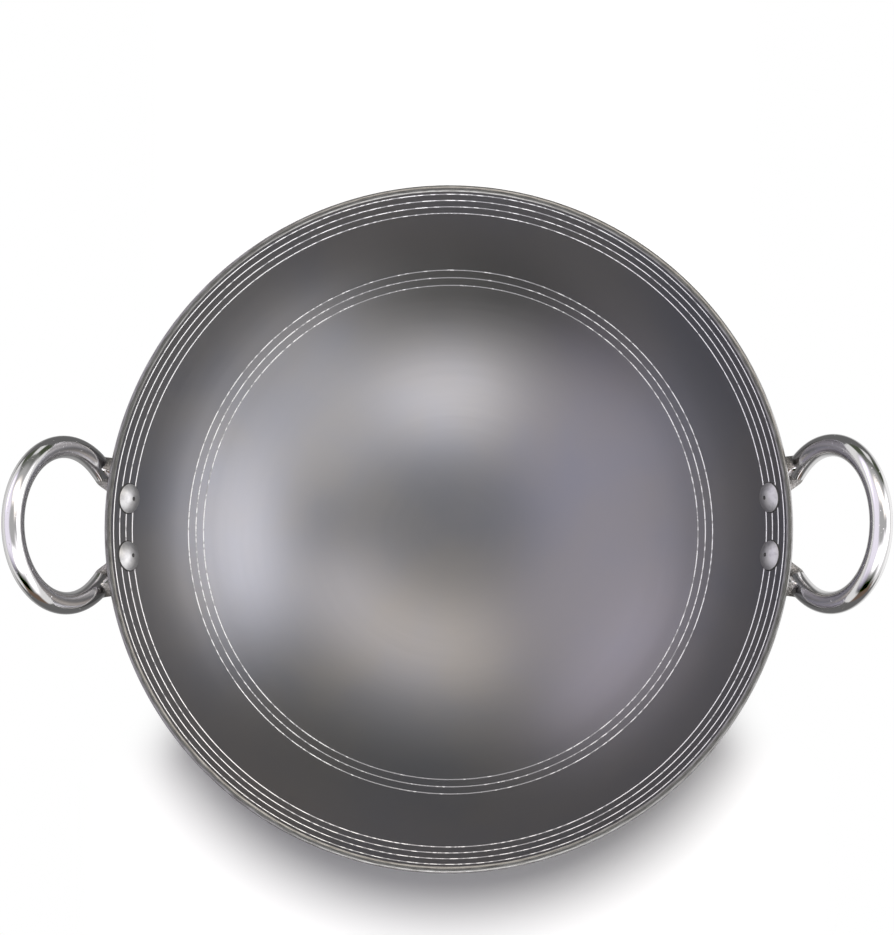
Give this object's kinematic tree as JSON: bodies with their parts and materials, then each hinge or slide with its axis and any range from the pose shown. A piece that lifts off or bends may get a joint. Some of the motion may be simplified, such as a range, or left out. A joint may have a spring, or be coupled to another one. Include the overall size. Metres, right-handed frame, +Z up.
{
  "type": "kadai",
  "caption": "Deep round-bottomed cooking bowl in dark anodised aluminium, with bright turned lines inside and riveted cast ring handles.",
  "frame": {"origin": "middle of the flat base, on the surface that the bowl stands on", "axes": "+Z up out of the bowl's mouth, +X along the line through both handles, +Y across it"},
  "size_m": [0.348, 0.2796, 0.1247],
  "materials": {
    "anodised_bowl": "hard anodised, dark grey satin, with bright cut lines and rim",
    "polished_handle": "cast and polished, rough where the lug meets the bowl",
    "rivet": "satin"
  },
  "bodies": {
    "root": {"bowl": "anodised_bowl", "handle_left": "polished_handle", "handle_right": "polished_handle", "rivets": "rivet"}
  },
  "joints": []
}
